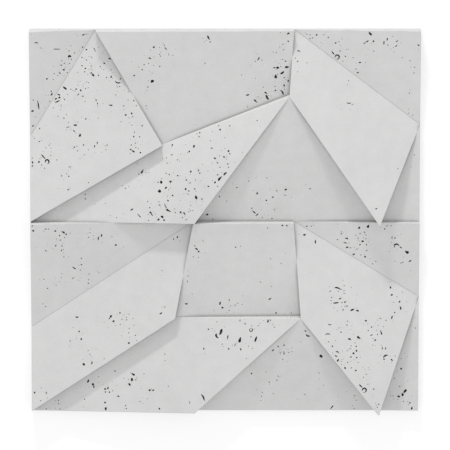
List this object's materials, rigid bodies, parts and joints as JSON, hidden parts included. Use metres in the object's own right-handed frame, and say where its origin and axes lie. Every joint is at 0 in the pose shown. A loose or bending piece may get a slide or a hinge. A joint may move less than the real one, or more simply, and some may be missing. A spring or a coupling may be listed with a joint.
{
  "type": "faceted concrete wall panel tile",
  "caption": "Square cast-concrete wall panel with a faceted relief front of folds, steps and tips and a flat back, bedded on a wall as cladding.",
  "frame": {"origin": "centre of the flat back, on the surface that the panel lies on", "axes": "+Z out of the front, +Y towards the panel's top edge, +X towards its right edge seen from the front"},
  "size_m": [0.6, 0.6, 0.043],
  "materials": {
    "concrete": "matt cast architectural concrete, pale grey, fine grain with open air pores"
  },
  "bodies": {
    "root": {"wall_panel": "concrete"}
  },
  "joints": []
}
